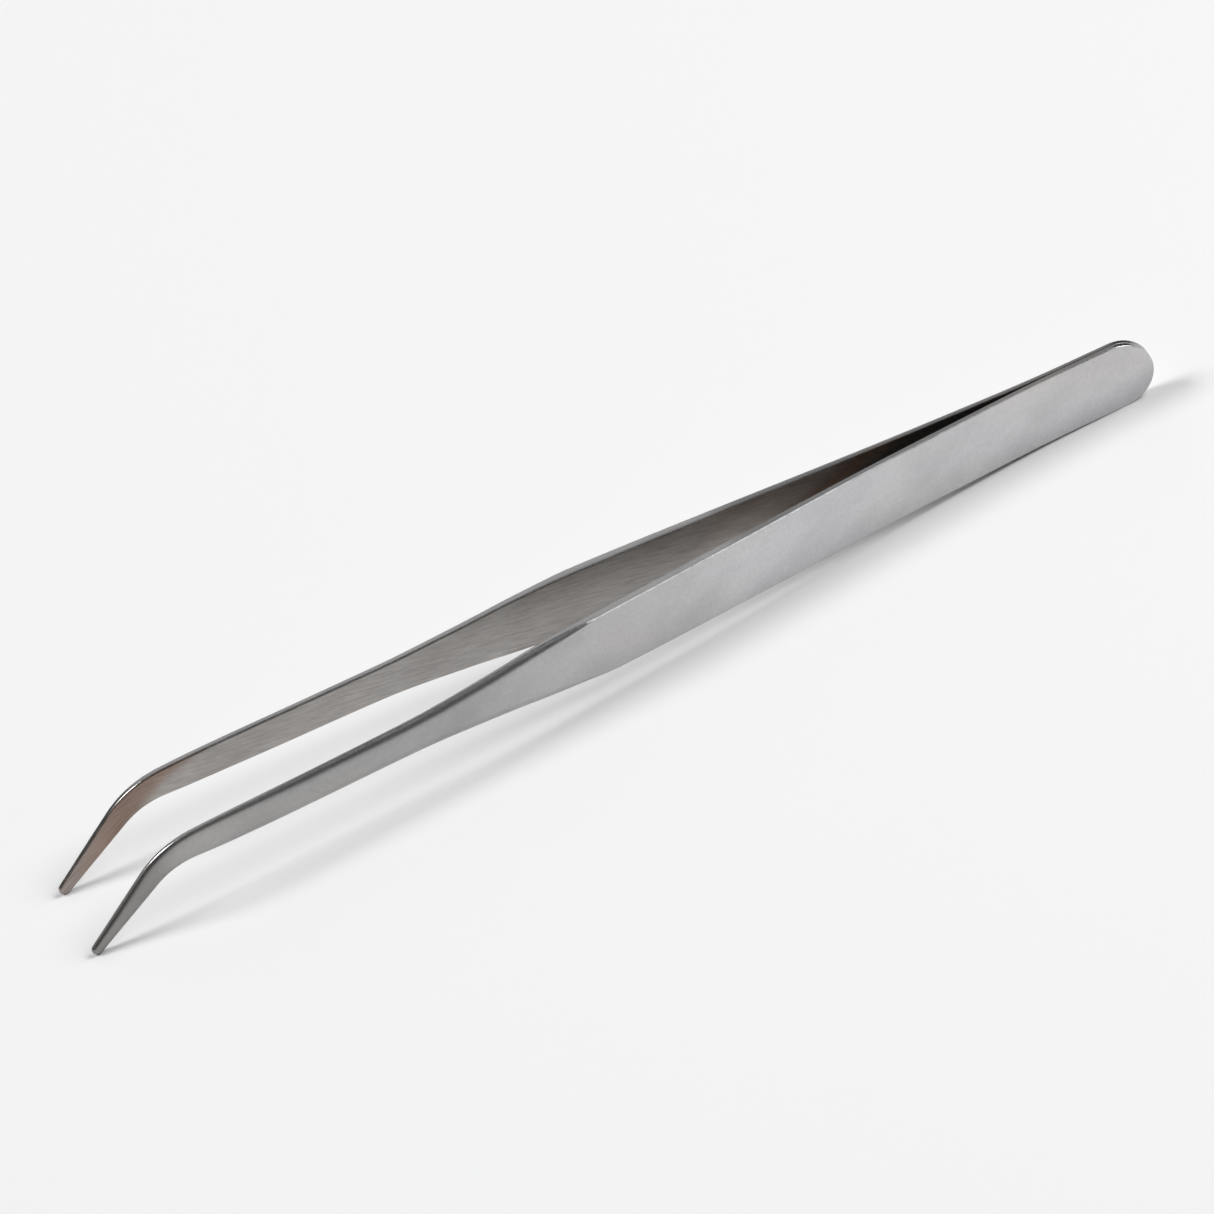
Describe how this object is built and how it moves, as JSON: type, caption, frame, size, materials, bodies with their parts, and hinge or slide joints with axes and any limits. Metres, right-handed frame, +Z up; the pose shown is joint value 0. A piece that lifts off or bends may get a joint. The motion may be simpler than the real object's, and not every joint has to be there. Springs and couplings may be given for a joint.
{
  "type": "bent-nose tweezers",
  "caption": "Long stainless tweezers with two sprung blades welded at a rounded heel, waisted past the handle and bent down to blunt tips.",
  "frame": {"origin": "bottom centre of the bounding box, on the ground that both tips and the heel stand on", "axes": "+X along the length towards the heel, +Y towards the far blade, +Z up, with the bent tips pointing down"},
  "size_m": [0.1548, 0.0148, 0.0121],
  "materials": {
    "spring_steel": "satin, brushed along the length",
    "weld_steel": "fused, matt"
  },
  "bodies": {
    "heel": {"far_blade_heel": "spring_steel", "near_blade_heel": "spring_steel", "rear_weld": "weld_steel", "front_weld": "weld_steel"},
    "far_arm": {"far_blade_arm": "spring_steel"},
    "near_arm": {"near_blade_arm": "spring_steel"}
  },
  "joints": [
    {"name": "near_arm_squeeze", "type": "hinge", "parent": "heel", "child": "near_arm", "pos_m": [0.04743, -0.00121, 0.00577], "axis": [-0.0364, 0, -0.9993], "range_deg": [0, 2.9], "stiffness_Nm_per_rad": 2.4},
    {"name": "far_arm_squeeze", "type": "hinge", "parent": "heel", "child": "far_arm", "pos_m": [0.04743, 0.00121, 0.00577], "axis": [0.0364, 0, 0.9993], "range_deg": [0, 2.9], "stiffness_Nm_per_rad": 2.4}
  ],
  "couplings": [
    {"joint": "far_arm_squeeze", "follows": "near_arm_squeeze", "ratio": 1}
  ]
}
